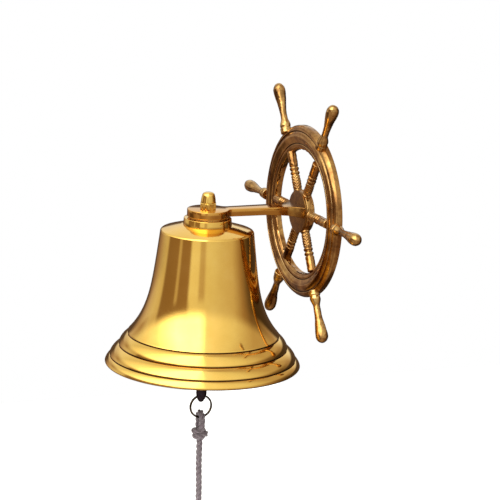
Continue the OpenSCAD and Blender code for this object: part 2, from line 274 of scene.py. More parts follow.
def antique_brass(name, mid=(0.35, 0.17, 0.052), bright=(0.66, 0.40, 0.13)):
    """Cast brass, darkened in the hollows by dark patina and painted shade, and rubbed bright on the edges,
    which also paints highlight lines there.
    """
    dark = (0.09, 0.036, 0.014)
    material, g, shader = new_material(name)
    point = object_point(g)
    broad = g.noise(point, 60, 4, 0.6)
    fine = g.noise(point, 420, 4, 0.65)
    pits = g.voronoi(point, 620)
    hollow = g.attribute("hollow")
    edge = g.attribute("edge")
    tone = g.ramp(broad, [(0.28, dark), (0.46, mid), (0.75, bright)])
    tone = g.mix(g.span(fine, 0.35, 0.55, 0.35, 0.0), tone, dark)
    # Edges turn bright: partly rubbed wear, partly painted highlight.
    tone = g.mix(g.span(edge, 0.12, 0.5, 0, 0.85), tone, (0.88, 0.62, 0.28))
    # Hollows turn near black: partly dark patina, partly painted shade.
    tone = g.mix(g.span(hollow, 0.06, 0.4, 0, 0.94), tone, (0.03, 0.012, 0.006))
    rough = g.span(broad, 0.3, 0.7, 0.20, 0.12)
    rough = g.math("MULTIPLY_ADD", g.span(hollow, 0.05, 0.5), 0.35, rough)
    rough = g.math("MULTIPLY_ADD", g.span(fine, 0.35, 0.6), -0.05, rough)
    set_metal(g, shader, tone, rough, g.bump(pits, 0.05, 0.0003, g.bump(fine, 0.10, 0.0004)))
    return material


def cast_inside(name):
    """The bell's inside: turned but not polished, and tarnished."""
    material, g, shader = new_material(name)
    point = object_point(g)
    broad = g.noise(point, 40, 4, 0.6)
    rings = g.noise(g.mapping(point, (25, 25, 1500)), 1.0, 2, 0.6)
    stops = [(0.3, (0.17, 0.085, 0.03)), (0.55, (0.42, 0.25, 0.085)), (0.75, (0.55, 0.36, 0.14))]
    tone = g.mix(g.span(rings, 0.3, 0.7, 0.3, 0.0), g.ramp(broad, stops), (0.12, 0.06, 0.02))
    rough = g.span(broad, 0.3, 0.7, 0.5, 0.34)
    set_metal(g, shader, tone, rough, g.bump(rings, 0.5, 0.0004, g.bump(broad, 0.2, 0.001)))
    return material


def dark_iron(name):
    """Blued iron with a violet cast, brighter where it rubs, with a little rust."""
    material, g, shader = new_material(name)
    point = object_point(g)
    broad = g.noise(point, 90, 4, 0.6)
    fine = g.noise(point, 700, 3, 0.7)
    edge = g.attribute("edge")
    stops = [(0.3, (0.012, 0.009, 0.016)), (0.55, (0.030, 0.024, 0.036)), (0.75, (0.055, 0.043, 0.056))]
    tone = g.mix(g.span(fine, 0.6, 0.8, 0, 0.5), g.ramp(broad, stops), (0.10, 0.045, 0.02))
    tone = g.mix(g.span(edge, 0.15, 0.6, 0, 0.6), tone, (0.30, 0.27, 0.26))
    rough = g.span(fine, 0.3, 0.7, 0.26, 0.45)
    set_metal(g, shader, tone, rough, g.bump(fine, 0.4, 0.0003, g.bump(broad, 0.3, 0.001)), 0.9)
    return material


def ring_steel(name):
    """Spring-steel wire under a dark bronze-coloured finish."""
    material, g, shader = new_material(name)
    point = object_point(g)
    broad = g.noise(point, 260, 4, 0.6)
    lines = g.noise(g.mapping(point, (2500, 300, 300)), 1.0, 2, 0.6)
    stops = [(0.3, (0.03, 0.022, 0.014)), (0.55, (0.09, 0.066, 0.038)), (0.75, (0.20, 0.155, 0.09))]
    tone = g.ramp(broad, stops)
    set_metal(g, shader, tone, g.span(broad, 0.3, 0.7, 0.38, 0.24), g.bump(lines, 0.2, 0.0002))
    return material


def bolt_metal(name, low, high, rough=0.3):
    """Turned or plated metal of bought nuts, washers and screws."""
    material, g, shader = new_material(name)
    point = object_point(g)
    broad = g.noise(point, 150, 4, 0.6)
    cut = g.noise(g.mapping(point, (300, 300, 3000)), 1.0, 2, 0.6)
    tone = g.ramp(broad, [(0.3, low), (0.7, high)])
    set_metal(g, shader, tone, g.span(broad, 0.3, 0.7, rough + 0.12, rough), g.bump(cut, 0.25, 0.0002))
    return material


def cotton(name):
    """Grey-mauve cotton: fibres run along each strand, over a slightly mottled dye."""
    material, g, shader = new_material(name)
    point = object_point(g)
    along, around = g.attribute("along"), g.attribute("around")
    join = g.add("ShaderNodeCombineXYZ")
    g.put(g.math("MULTIPLY_ADD", along, 0.35, g.math("MULTIPLY", around, 5.0)), join.inputs[0])
    g.put(g.math("MULTIPLY", along, 0.05), join.inputs[1])
    yarn = g.noise(join.outputs[0], 3.4, 4, 0.7)
    patch = g.noise(point, 340, 3, 0.6)
    fuzz = g.noise(point, 2600, 3, 0.7)
    hollow = g.attribute("hollow")
    stops = [(0.25, (0.085, 0.066, 0.078)), (0.5, (0.20, 0.168, 0.182)), (0.75, (0.40, 0.36, 0.37))]
    tone = g.ramp(yarn, stops)
    tone = g.mix(g.span(patch, 0.35, 0.7, 0.0, 0.5), tone, (0.15, 0.105, 0.14))
    tone = g.mix(g.span(fuzz, 0.55, 0.8, 0.0, 0.45), tone, (0.50, 0.46, 0.46))
    # Painted shade: the hollows between strands and yarns turn near black.
    tone = g.mix(g.span(hollow, 0.1, 0.8, 0.0, 0.75), tone, (0.04, 0.03, 0.04))
    g.put(tone, shader.inputs["Base Color"])
    shader.inputs["Roughness"].default_value = 0.92
    shader.inputs["Specular IOR Level"].default_value = 0.25
    shader.inputs["Sheen Weight"].default_value = 0.35
    shader.inputs["Sheen Roughness"].default_value = 0.45
    g.put(g.bump(fuzz, 0.35, 0.0003, g.bump(yarn, 0.8, 0.0004)), shader.inputs["Normal"])
    return material


# ---------------------------------------------------------------- mesh tools


def add_object(name, verts, faces, materials):
    """A new object from vertices in millimetres."""
    mesh = bpy.data.meshes.new(name)
    mesh.from_pydata([tuple(MM * c for c in v) for v in verts], [], faces)
    mesh.validate()
    for material in materials:
        mesh.materials.append(material)
    obj = bpy.data.objects.new(name, mesh)
    bpy.context.scene.collection.objects.link(obj)
    return obj


def arc_points(p, q, half, steps):
    """An arc from p to q that turns by 2 * half degrees, bulging to the left of the way from p to q."""
    h = math.radians(half)
    px, py = p
    qx, qy = q
    chord = math.hypot(qx - px, qy - py)
    r = chord / (2 * math.sin(h))
    ux, uy = (qx - px) / chord, (qy - py) / chord
    nx, ny = -uy, ux
    cx, cy = (px + qx) / 2 - nx * r * math.cos(h), (py + qy) / 2 - ny * r * math.cos(h)
    points = []
    for i in range(steps + 1):
        a = -h + 2 * h * i / steps
        points.append((cx + r * (math.cos(a) * nx + math.sin(a) * ux),
                       cy + r * (math.cos(a) * ny + math.sin(a) * uy)))
    return points


def soften(points, radius, closed=False, steps=3, least=12):
    """Rounds each corner of an outline that turns by more than `least` degrees."""
    count = len(points)
    result = []
    for i, p in enumerate(points):
        if not closed and i in (0, count - 1):
            result.append(p)
            continue
        a, b = Vector(points[i - 1]), Vector(points[(i + 1) % count])
        c = Vector(p)
        before, after = a - c, b - c
        if before.length < 1e-6 or after.length < 1e-6:
            continue
        turn = math.pi - before.angle(after)
        if turn < math.radians(least):
            result.append(p)
            continue
        cut = min(radius * math.tan(turn / 2), before.length * 0.45, after.length * 0.45)
        start, end = c + before.normalized() * cut, c + after.normalized() * cut
        for k in range(steps + 1):
            t = k / steps
            result.append(tuple(start * (1 - t) ** 2 + c * 2 * t * (1 - t) + end * t ** 2))
    return result


def spread(points, step, closed=False):
    """Adds points so that no stretch of the outline is longer than step."""
    ends = points[1:] + points[:1] if closed else points[1:]
    result = []
    for p, q in zip(points, ends):
        count = max(1, math.ceil(math.dist(p, q) / step))
        result += [tuple(p[j] + (q[j] - p[j]) * i / count for j in range(len(p))) for i in range(count)]
    return result if closed else result + [points[-1]]


def circle(radius, height, count):
    turns = [2 * math.pi * k / count for k in range(count)]
    return [(radius * math.cos(a), radius * math.sin(a), height) for a in turns]


def lathe(name, outline, materials, segments=128, closed=False, second_from=None):
    """Turns an outline of (radius, height) about Z.

    The faces from outline point `second_from` on take the second material.
    """
    verts, rows, faces, slots = [], [], [], []
    for r, h in outline:
        if r < 1e-4:
            rows.append([len(verts)] * segments)
            verts.append((0, 0, h))
        else:
            rows.append(list(range(len(verts), len(verts) + segments)))
            verts += circle(r, h, segments)
    pairs = list(zip(rows, rows[1:])) + ([(rows[-1], rows[0])] if closed else [])
    for i, (low, high) in enumerate(pairs):
        for k in range(segments):
            m = (k + 1) % segments
            face = [low[k], low[m], high[m], high[k]]
            face = [v for j, v in enumerate(face) if v != face[j - 1]]
            if len(face) > 2:
                faces.append(face)
                slots.append(0 if second_from is None or i < second_from else 1)
    obj = add_object(name, verts, faces, materials)
    obj.data.polygons.foreach_set("material_index", slots[:len(obj.data.polygons)])
    return obj


def turn_to(obj, matrix):
    """Puts the mesh in its place, with the object itself left at the origin."""
    obj.data.transform(matrix)
    obj.data.update()
    return obj


def at_bell_axis(z=0.0):
    return Matrix.Translation((0, -REACH * MM, z * MM))


# Turns +Z to -Y, away from the wall
OFF_WALL = Matrix.Rotation(math.radians(90), 4, "X")


def along_spoke(i, plane):
    """+Z runs out along spoke i, `plane` in front of the wall, from the wheel's centre."""
    return Matrix.Translation((0, -plane * MM, 0)) @ Matrix.Rotation(math.radians(-30 + 60 * i), 4, "Y")


def outward(obj):
    """Makes all normals point out of the solid."""
    work = bmesh.new()
    work.from_mesh(obj.data)
    bmesh.ops.remove_doubles(work, verts=work.verts, dist=1e-7)
    bmesh.ops.recalc_face_normals(work, faces=work.faces)
    work.to_mesh(obj.data)
    work.free()
    obj.data.update()


def read_triples(items, field):
    values = np.empty(len(items) * 3, np.float32)
    items.foreach_get(field, values)
    return values.reshape(-1, 3).astype(float)


def positions(mesh):
    return read_triples(mesh.vertices, "co")


def normals(mesh):
    return read_triples(mesh.vertex_normals, "vector")


def set_positions(mesh, co):
    mesh.vertices.foreach_set("co", co.astype(np.float32).ravel())
    mesh.update()


def write_values(mesh, name, values):
    """One number per vertex, which the materials read by name."""
    mesh.attributes.new(name, "FLOAT", "POINT").data.foreach_set("value", np.array(values, np.float32))


def roughen(obj, layers, weight):
    """Moves each vertex along its normal by layers of smooth noise, times weight(position).

    A layer is (size of the lumps, height, shift of the pattern), the first two in millimetres.
    """
    mesh = obj.data
    co, no = positions(mesh), normals(mesh)
    push = np.zeros(len(co))
    for size, height, shift in layers:
        offset = Vector((shift, shift * 0.7, -shift))
        for i, p in enumerate(co):
            push[i] += height * MM * noise.noise(Vector(p / (size * MM)) + offset)
    push *= np.array([weight(p) for p in co])
    set_positions(mesh, co + no * push[:, None])


def mark_shape(obj, reach, blur=2):
    """Writes two vertex values: hollow, in grooves and inner corners, and edge, on outer corners.

    A bend with a radius of `reach` millimetres or less counts in full.
    """
    mesh = obj.data
    co, no = positions(mesh), normals(mesh)
    ends = np.empty(len(mesh.edges) * 2, np.int32)
    mesh.edges.foreach_get("vertices", ends)
    a, b = ends[0::2], ends[1::2]
    degree = np.bincount(ends, minlength=len(co)).astype(float)
    degree[degree == 0] = 1
    step = co[b] - co[a]
    length = np.linalg.norm(step, axis=1) + 1e-9
    bend_a = (no[a] * step).sum(1) / length**2
    bend_b = -(no[b] * step).sum(1) / length**2
    bend = np.bincount(a, bend_a, len(co)) + np.bincount(b, bend_b, len(co))
    bend = np.clip(bend / degree * reach * MM, -1, 1)
    for _ in range(blur):
        around = np.bincount(a, bend[b], len(co)) + np.bincount(b, bend[a], len(co))
        bend = 0.5 * bend + 0.5 * around / degree
    for name, value in (("hollow", bend), ("edge", -bend)):
        write_values(mesh, name, np.clip(value, 0, 1))


def finish_piece(obj, body, nodes, reach=0.6, blur=2, sharp=None):
    """Smooth shading, the hollow and edge marks that the materials turn into painted shade, painted
    highlights and wear, and the piece's place in the frame.
    """
    mark_shape(obj, reach, blur)
    obj.data.shade_smooth()
    if sharp is not None:
        obj.data.set_sharp_from_angle(angle=math.radians(sharp))
    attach(obj, body)
    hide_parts(*nodes)
    return obj


def tube_faces(first, rows, sides, flip=False):
    """The faces of a closed tube, whose vertices come in rows of `sides` from vertex `first` on."""
    faces = []
    for q in range(first, first + (rows - 1) * sides, sides):
        for k in range(sides):
            m = (k + 1) % sides
            faces.append([q + k, q + m, q + sides + m, q + sides + k])
    start = [first + k for k in reversed(range(sides))]
    end = [first + (rows - 1) * sides + k for k in range(sides)]
    if flip:
        return [[b, a, d, c] for a, b, c, d in faces] + [start[::-1], end[::-1]]
    return faces + [start, end]


# ---------------------------------------------------------------- rope


def smooth_path(points, step):
    """A smooth curve through the points, as points about `step` apart."""
    fineness = 16
    pts = [Vector(p) for p in points]
    pts = [pts[0] * 2 - pts[1]] + pts + [pts[-1] * 2 - pts[-2]]
    fine = []
    for i in range(1, len(pts) - 2):
        p0, p1, p2, p3 = pts[i - 1:i + 3]
        for k in range(fineness):
            t = k / fineness
            fine.append(0.5 * (2 * p1 + (p2 - p0) * t + (2 * p0 - 5 * p1 + 4 * p2 - p3) * t**2
                               + (3 * p1 - p0 - 3 * p2 + p3) * t**3))
    fine.append(pts[-2])
    lengths = [0.0]
    for p, q in zip(fine, fine[1:]):
        lengths.append(lengths[-1] + (q - p).length)
    count = max(2, round(lengths[-1] / step))
    result, j = [], 0
    for i in range(count + 1):
        s = lengths[-1] * i / count
        while j < len(lengths) - 2 and lengths[j + 1] < s:
            j += 1
        t = (s - lengths[j]) / max(1e-9, lengths[j + 1] - lengths[j])
        result.append(fine[j].lerp(fine[j + 1], t))
    return result


def travelling_frames(path):
    """A tangent and two sideways directions at each point, with no twist along the path."""
    frames, side = [], None
    for i in range(len(path)):
        tangent = (path[min(i + 1, len(path) - 1)] - path[max(i - 1, 0)]).normalized()
        if side is None:
            side = tangent.orthogonal().normalized()
        side = (side - tangent * side.dot(tangent)).normalized()
        frames.append((tangent, side, tangent.cross(side)))
    return frames


def rope(name, points, diameter, material, lay, turn=0.0):
    """Three strands twisted round a path, each with its own fibre direction.

    lay is the length of one twist, and turn the angle at which the strands start.
    """
    sides = 12
    path = smooth_path(points, 0.5)
    frames = travelling_frames(path)
    strand_r, offset = diameter * 0.245, diameter * 0.262
    verts, faces, along, around = [], [], [], []
    for strand in range(3):
        centres, s = [], 0.0
        for i, (p, (_, side, other)) in enumerate(zip(path, frames)):
            s += (p - path[i - 1]).length if i else 0.0
            a = turn + 2 * math.pi * (s / lay + strand / 3)
            centres.append((p + (side * math.cos(a) + other * math.sin(a)) * offset, s))
        faces += tube_faces(len(verts), len(centres), sides)
        strand_frames = travelling_frames([c for c, _ in centres])
        for (c, s), (_, side, other) in zip(centres, strand_frames):
            for k in range(sides):
                a = 2 * math.pi * k / sides
                wobble = 1 + 0.05 * noise.noise(Vector((s * 0.7, k * 1.3, strand * 9.1)))
                verts.append(c + (side * math.cos(a) + other * math.sin(a)) * strand_r * wobble)
                along.append(s)
                around.append(k / sides)
    obj = add_object(name, verts, faces, [material])
    write_values(obj.data, "along", along)
    write_values(obj.data, "around", around)
    return obj


def helix(radius, top, pitch, turns, start):
    """Points of a winding round the bell's axis that goes down, with both ends tucked in."""
    points, per_turn, lead = [], 16, 1.2
    count = int(turns * per_turn)
    for i in range(count + 1):
        t = i / count
        a = start - 2 * math.pi * turns * t
        tuck = min(1.0, t * turns * lead + 0.15, (1 - t) * turns * lead + 0.15)
        r = radius * tuck
        points.append((r * math.cos(a), r * math.sin(a) - REACH, top - pitch * turns * t))
    return points


# The free cord between the knots: (X, Y from the bell's axis, Z)
ROUTE = [(0, 0, -179), (0.4, -0.2, -189), (0.9, -0.3, -199), (1.2, 0, -209), (1.1, 0.4, -219),
         (0.7, 0.6, -229), (0.2, 0.4, -239), (-0.2, 0.2, -249), (-0.3, 0, -259), (0, 0, -269)]


def build_lanyard(material):
    # The bight over the ring, with both legs going down into the knot
    bend = 3.6
    leg = [(1.6, -178), (2.4, -172), (bend, LEG_BOTTOM), (bend, RING_BOTTOM - 2)]
    bight = [(-x, z) for x, z in leg]
    bight += [(-bend * math.cos(a), RING_BOTTOM + bend * math.sin(a)) for a in np.linspace(0, math.pi, 9)]
    bight += reversed(leg)
    eye = rope("lanyard_eye_rope", [(x, -REACH, z) for x, z in bight], CORD_D, material, lay=13, turn=0.4)
    finish_piece(eye, BODY_LANYARD, ["lanyard_eye"])
    winding = helix(4.35, LEG_BOTTOM - 2.6, 3.9, 2.3, 2.6)
    knot = rope("lanyard_knot_rope", winding, CORD_D * 0.98, material, lay=12, turn=1.0)
    finish_piece(knot, BODY_LANYARD, ["lanyard_knot"])
    on_axis = [(x, y - REACH, z) for x, y, z in ROUTE]
    cord_points = [(0, -REACH, -176)] + on_axis + [(0, -REACH, -272)]
    cord = rope("lanyard_cord_rope", cord_points, CORD_D, material, lay=13.5)
    finish_piece(cord, BODY_LANYARD, ["lanyard_cord"])
    winding = helix(4.7, -271.4, 4.0, 1.8, 0.5)
    end_knot = rope("lanyard_end_knot_rope", winding, CORD_D, material, lay=12, turn=2.0)
    finish_piece(end_knot, BODY_LANYARD, ["lanyard_end_knot"])
    tassel = build_tassel(material)
    path = [tuple(c * MM for c in p) for p in smooth_path(cord_points, 2.0)]


def build_tassel(material):
    """The frayed end: many thin yarns that spread a little and end unevenly."""
    verts, faces, along, around = [], [], [], []
    yarns, sides, rows, golden_angle = 64, 5, 13, 2.399963
    rng = np.random.default_rng(7)
    for i in range(yarns):
        a = golden_angle * i
        r0 = 2.6 * math.sqrt((i + 0.5) / yarns)
        r1 = r0 * 1.45
        length = 14.6 + 3.0 * rng.random()
        sway = 0.5 * rng.standard_normal(2)
        faces += tube_faces(len(verts), rows, sides, flip=True)
        for j in range(rows):
            t = j / (rows - 1)
            r = r0 + (r1 - r0) * math.sin(t * math.pi / 2) ** 1.5
            b = a + 0.25 * math.sin(3 * t + i)
            c = Vector((r * math.cos(b) + sway[0] * t * t * 0.5,
                        r * math.sin(b) - REACH + sway[1] * t * t * 0.5,
                        -280.2 - length * t))
            thick = 0.36 * (1 - 0.35 * t * t)
            for k in range(sides):
                q = 2 * math.pi * k / sides
                verts.append(c + Vector((math.cos(q), math.sin(q), 0)) * thick)
                along.append(length * t)
                around.append(k / sides)
    obj = add_object("lanyard_tassel_yarns", verts, faces, [material])
    write_values(obj.data, "along", along)
    write_values(obj.data, "around", around)
    return finish_piece(obj, BODY_LANYARD, ["lanyard_tassel"], reach=0.2)


# ---------------------------------------------------------------- bell


def waist_r(depth):
    """The bell's outer radius at a depth below the shoulder, down to the first groove."""
    return 35.9 + 0.12 * depth + 13.3 * (depth / WAIST_H) ** 4.8


def build_bell(outside, inside):
    """The outline runs out over the crown, down the outside, over the lip and back up the inside."""
    groove_depth, crown_r = 0.9, 19.3
    band_tops = [(waist_r(WAIST_H), WAIST_H), (65.4, 90.7), (72.2, 99.2), (MOUTH_R, BELL_H - LIP_ROUND)]
    outline = [(STUD_HOLE_R, CROWN_RISE), (crown_r, CROWN_RISE)]
    outline += arc_points((crown_r, CROWN_RISE), (34.9, 0.1), 3, 10)[1:] + [(35.3, -0.1), (35.6, -0.4)]
    outline += [(waist_r(t), -t) for t in np.linspace(1, WAIST_H, 90)]
    for (r, t), end in zip(band_tops, band_tops[1:]):
        outline += [(r - groove_depth, -t - 0.1), (r - groove_depth, -t - 0.95)]
        outline += arc_points((r, -t - 1.05), (end[0], -end[1]), 22, 14)
    outline += arc_points((MOUTH_R, LIP_ROUND - BELL_H), (74.0, -BELL_H), 35, 6)[1:]
    outline += [(71.0, -BELL_H), (70.6, 0.5 - BELL_H)]
    outer_count = len(outline)
    outline += [(waist_r(t) - WALL_T, -t) for t in np.linspace(WAIST_H, 8.7, 50)]
    outline += [(waist_r(8) - 4.1, -0.5), (waist_r(8) - 7.6, 0.7), (STUD_HOLE_R, 0.7)]
    outer = soften(outline[:outer_count], 0.22, steps=2, least=16)
    whole = outer + soften(outline[outer_count - 1:], 1.5, steps=4, least=20)[1:]
    bell = lathe("bell_shell", whole, [outside, inside], segments=288, closed=True,
                 second_from=len(outer) - 1)
    turn_to(bell, at_bell_axis(SHOULDER_Z))
    outward(bell)
    return finish_piece(bell, ROOT, ["bell_body"], reach=0.7, blur=2, sharp=50)


def build_collar(material):
    corners = [(STUD_HOLE_R, 0), (18.8, 0), (18.2, COLLAR_H), (STUD_HOLE_R, COLLAR_H)]
    outline = soften(corners, 0.35, closed=True)
    collar = lathe("collar_turned", outline, [material], segments=160, closed=True)
    turn_to(collar, at_bell_axis(CROWN_TOP))
    outward(collar)
    return finish_piece(collar, ROOT, ["collar"], reach=0.4, blur=0, sharp=50)


# ---------------------------------------------------------------- wheel


def build_rim(material):
    """A rounded outer slope, a groove, a crest with a cove inside it, a groove and an inner bead."""
    outline = [(RIM_INNER_R, 0), (RIM_R, 0)]
    outline += arc_points((RIM_R, 3.4), (63.0, 6.7), -34, 12)
    outline += [(62.8, 5.6), (62.2, 5.6)]
    outline += arc_points((62.0, 6.3), (57.9, 7.9), -20, 10)
    outline += arc_points((57.2, 7.7), (53.4, 6.3), 14, 10)
    outline += [(53.1, 5.2), (52.5, 5.2)]
    outline += arc_points((52.3, 5.9), (48.8, 4.5), -30, 10) + [(RIM_INNER_R, 4.0)]
    outline = spread(soften(outline, 0.18, closed=True, steps=2, least=20), 0.7, closed=True)
    rim = lathe("rim_casting", outline, [material], segments=320, closed=True)
    outward(rim)

    def as_cast(p):
        """The wall inside the rim is left rough, the front is smoother and the back is flat."""
        if p[2] < 0.3 * MM:
            return 0.0
        return 1.0 if math.hypot(p[0], p[1]) < (RIM_INNER_R + 0.6) * MM else 0.12

    roughen(rim, [(9, 0.6, 0.0), (3.0, 0.42, 4.0), (1.3, 0.10, 9.0)], as_cast)
    turn_to(rim, OFF_WALL)
    return finish_piece(rim, ROOT, ["wheel_rim"], reach=0.5, blur=1)


def build_hub(material):
    outline = soften([(0, 0), (HUB_R, 0), (HUB_R, HUB_T), (0, HUB_T)], 0.5)
    hub = lathe("hub_casting", spread(outline, 0.8), [material], segments=128)
    outward(hub)
    roughen(hub, [(5, 0.9, 1.0), (1.8, 0.4, 5.0)], lambda p: 1.0 if 1 < p[2] / MM < HUB_T - 0.6 else 0.0)
    turn_to(hub, OFF_WALL)
    return finish_piece(hub, ROOT, ["wheel_hub"], reach=0.5, blur=1)


def build_spoke(i, material):
    """A root ring, a knurled barrel, two beads and a plain outer part."""
    root, groove_r, bead_len, plain_r = 14.5, 2.8, 2.8, 3.5
    outline = [(0, root), (2.4, root), (3.5, 15.2), (3.55, 17.5), (groove_r, 17.8), (groove_r, 18.1)]
    outline += [(3.36 + 0.12 * math.sin(math.pi * t), 18.4 + 10.6 * t) for t in np.linspace(0, 1, 22)]
    outline += [(groove_r, 29.1), (groove_r, 29.5)]
    for start in (29.8, 33.3):
        outline += arc_points((groove_r, start), (groove_r, start + bead_len), -60, 8)
    outline += [(groove_r, 36.6), (3.35, 37.0), (plain_r, 38), (plain_r, 48.7), (0, 49.2)]
    outline = spread(outline, 0.45)
    spoke = lathe(f"spoke_turned_{i + 1}", outline, [material], segments=48)
    outward(spoke)
    mesh = spoke.data
    co = positions(mesh)
    for k, p in enumerate(co):
        s, r = p[2] / MM, math.hypot(p[0], p[1]) / MM
        if r < 1:
            continue
        a = math.atan2(p[1], p[0])
        push = 0.22 * noise.noise(Vector((p[0], p[1], p[2])) / (2.4 * MM) + Vector((i * 3.1, 0, 0)))
        if 18.3 < s < 29:
            # two crossing sets of shallow cuts
            cut = abs(math.sin(4 * a + 2.6 * s * 0.55)) * abs(math.sin(4 * a - 2.6 * s * 0.55))
            push += 0.55 * (cut ** 0.6 - 0.75)
        co[k, 0] += math.cos(a) * push * MM
        co[k, 1] += math.sin(a) * push * MM
    set_positions(mesh, co)
    turn_to(spoke, along_spoke(i, SPOKE_PLANE))
    return finish_piece(spoke, ROOT, [f"spoke_{i + 1}"], reach=0.45, blur=1)


def build_handle(i, material):
    """A flared foot on the rim, a thin neck and a long bulb with a round end."""

    def ease(u):
        return (1 - math.cos(math.pi * u)) / 2

    foot_from, foot_to, neck, bulb = RIM_R - 2.5, RIM_R + 3.5, RIM_R + 10.5, HAND_TIP - 6
    outline = [(0, foot_from), (4.4, foot_from), (4.4, RIM_R + 1.2), (3.9, RIM_R + 1.45)]
    outline += [(3.95, RIM_R + 1.9)]
    outline += [(4.2 - 1.55 * ease(u), foot_to + (neck - foot_to) * u) for u in np.linspace(0, 1, 16)]
    outline += [(2.65 + 2.15 * ease(u ** 1.3), neck + (bulb - neck) * u) for u in np.linspace(0, 1, 36)[1:]]
    outline += [(4.8 * math.cos(a), bulb + 6 * math.sin(a)) for a in np.linspace(0, math.pi / 2, 14)[1:]]
    outline[-1] = (0, HAND_TIP)
    handle = lathe(f"handle_turned_{i + 1}", spread(outline, 0.7), [material], segments=56)
    outward(handle)
    layers = [(7, 0.28, i * 2.0), (1.7, 0.10, 3.0)]
    roughen(handle, layers, lambda p: 1.0 if p[2] / MM < HAND_TIP - 1.5 else 0.3)
    turn_to(handle, along_spoke(i, HANDLE_PLANE))
    return finish_piece(handle, ROOT, [f"handle_{i + 1}"], reach=0.7, blur=2)


# ---------------------------------------------------------------- arm


def arm_half_plan():
    """The right-hand side of the arm's plan from the nose of the eye to the wall: (half width, Y)."""
    fillet_r, half = 5.0, 6.0
    fx = half + fillet_r
    fy = math.sqrt((EYE_R + fillet_r) ** 2 - fx**2)
    touch = math.atan2(fy, fx)
    points = []
    for a in np.linspace(-math.pi / 2, touch, 60):
        points.append((EYE_R * math.cos(a), EYE_R * math.sin(a) - REACH))
    for a in np.linspace(math.pi + touch, math.pi, 12)[1:]:
        points.append((fx + fillet_r * math.cos(a), fy - REACH + fillet_r * math.sin(a)))
    flare_len, mid, foot = 12.5, 7.5, 14.0
    start_y, end_y = fy - REACH, -FOOT_FRONT - flare_len
    for t in np.linspace(0, 1, 24)[1:]:
        points.append((half + (mid - half) * t, start_y + (end_y - start_y) * t))
    r = ((foot - mid) ** 2 + flare_len**2) / (2 * (foot - mid))
    for d in np.linspace(0, flare_len, 20)[1:]:
        points.append((mid + r - math.sqrt(r * r - d * d), end_y + d))
    points.append((foot, -HUB_T - 0.4))
    return points


def build_arm(material):
    """A bar and the eye from one plan, with softened edges, and the round foot on the hub."""
    side = arm_half_plan()
    bevel = 0.55

    def underside(y):
        t = max(0.0, (y + REACH / 2) / (REACH / 2 - FOOT_FRONT))
        return EYE_BOTTOM - 2.8 * min(t, 1.05) ** 2

    def inward(i):
        p, q = side[max(i - 1, 0)], side[min(i + 1, len(side) - 1)]
        dx, dy = q[0] - p[0], q[1] - p[1]
        if i == 0:
            dx, dy = 1, 0
        length = math.hypot(dx, dy)
        return (-dy / length, dx / length)

    # Each level is (inset from the plan, at the top or not, height above the bottom or the top)
    quarter = np.linspace(0, math.pi / 2, 4)
    levels = [(bevel * (1 - math.sin(a)), False, bevel * (1 - math.cos(a))) for a in quarter]
    levels += [(bevel * (1 - math.cos(a)), True, -bevel * (1 - math.sin(a))) for a in quarter]
    verts, faces, count = [], [], len(side)
    rings = []
    for inset, at_top, lift in levels:
        ring = []
        for sign in (1, -1):
            row = []
            for i, (x, y) in enumerate(side):
                nx, ny = inward(i)
                px, py = x + nx * inset, y + ny * inset
                z = (ARM_TOP if at_top else underside(y)) + lift
                row.append(len(verts))
                verts.append((sign * max(px, 0), py, z))
            ring.append(row)
        rings.append(ring)
    for low, high in zip(rings, rings[1:]):
        for s in (0, 1):
            for i in range(count - 1):
                faces.append([low[s][i], low[s][i + 1], high[s][i + 1], high[s][i]])
    for ring in (rings[0], rings[-1]):
        for i in range(count - 1):
            faces.append([ring[0][i], ring[0][i + 1], ring[1][i + 1], ring[1][i]])
    faces.append([r[0][count - 1] for r in rings] + [r[1][count - 1] for r in reversed(rings)])
    bar = add_object("arm_bar", verts, faces, [material])
    corners = [(0, HUB_T), (HUB_R, HUB_T), (HUB_R, FOOT_FRONT), (0, FOOT_FRONT)]
    disc = turn_to(lathe("arm_foot", soften(corners, 0.3), [material]), OFF_WALL)
    work = bmesh.new()
    for part in (bar, disc):
        work.from_mesh(part.data)
    bmesh.ops.remove_doubles(work, verts=work.verts, dist=1e-6)
    bmesh.ops.recalc_face_normals(work, faces=work.faces)
    work.to_mesh(bar.data)
    work.free()
    bpy.data.objects.remove(disc)
    bar.data.update()
    bar.name = "arm_casting"
    return finish_piece(bar, ROOT, ["arm"], reach=0.5, blur=0, sharp=40)


def build_nut(material):
    """A hexagon with a round chamfer above and below, and a blunt dome."""
    half_flats, height, segments = 6.0, 13, 120
    levels = [(0.0, 6.05), (0.35, 6.95), (4.2, 6.95), (4.6, 6.4), (4.85, 5.95)]
    hexagon = []
    for h, cone in levels:
        row = []
        for k in range(segments):
            a = 2 * math.pi * k / segments
            to_flat = (a + math.pi / 6) % (math.pi / 3) - math.pi / 6
            row.append(min(half_flats / math.cos(to_flat), cone))
        hexagon.append((h, row))
    dome = arc_points((5.75, 4.95), (4.7, 11.2), -7, 10) + arc_points((4.7, 11.2), (2.4, 12.85), -28, 8)[1:]
    hexagon += [(h, [r] * segments) for r, h in dome]
    verts, faces, rows = [(0, 0, 0)], [], []
    for h, row in hexagon:
        rows.append(list(range(len(verts), len(verts) + segments)))
        verts += [(r * math.cos(2 * math.pi * k / segments), r * math.sin(2 * math.pi * k / segments), h)
                  for k, r in enumerate(row)]
    verts.append((0, 0, height))
    last = len(verts) - 1
    for k in range(segments):
        m = (k + 1) % segments
        faces.append([0, rows[0][m], rows[0][k]])
        faces += [[low[k], low[m], high[m], high[k]] for low, high in zip(rows, rows[1:])]
        faces.append([rows[-1][k], rows[-1][m], last])
    nut = add_object("dome_nut_turned", verts, faces, [material])
    turn_to(nut, at_bell_axis(ARM_TOP) @ Matrix.Rotation(math.radians(7), 4, "Z"))
    outward(nut)
    return finish_piece(nut, ROOT, ["dome_nut"], reach=0.3, blur=0, sharp=22)


# ---------------------------------------------------------------- clapper


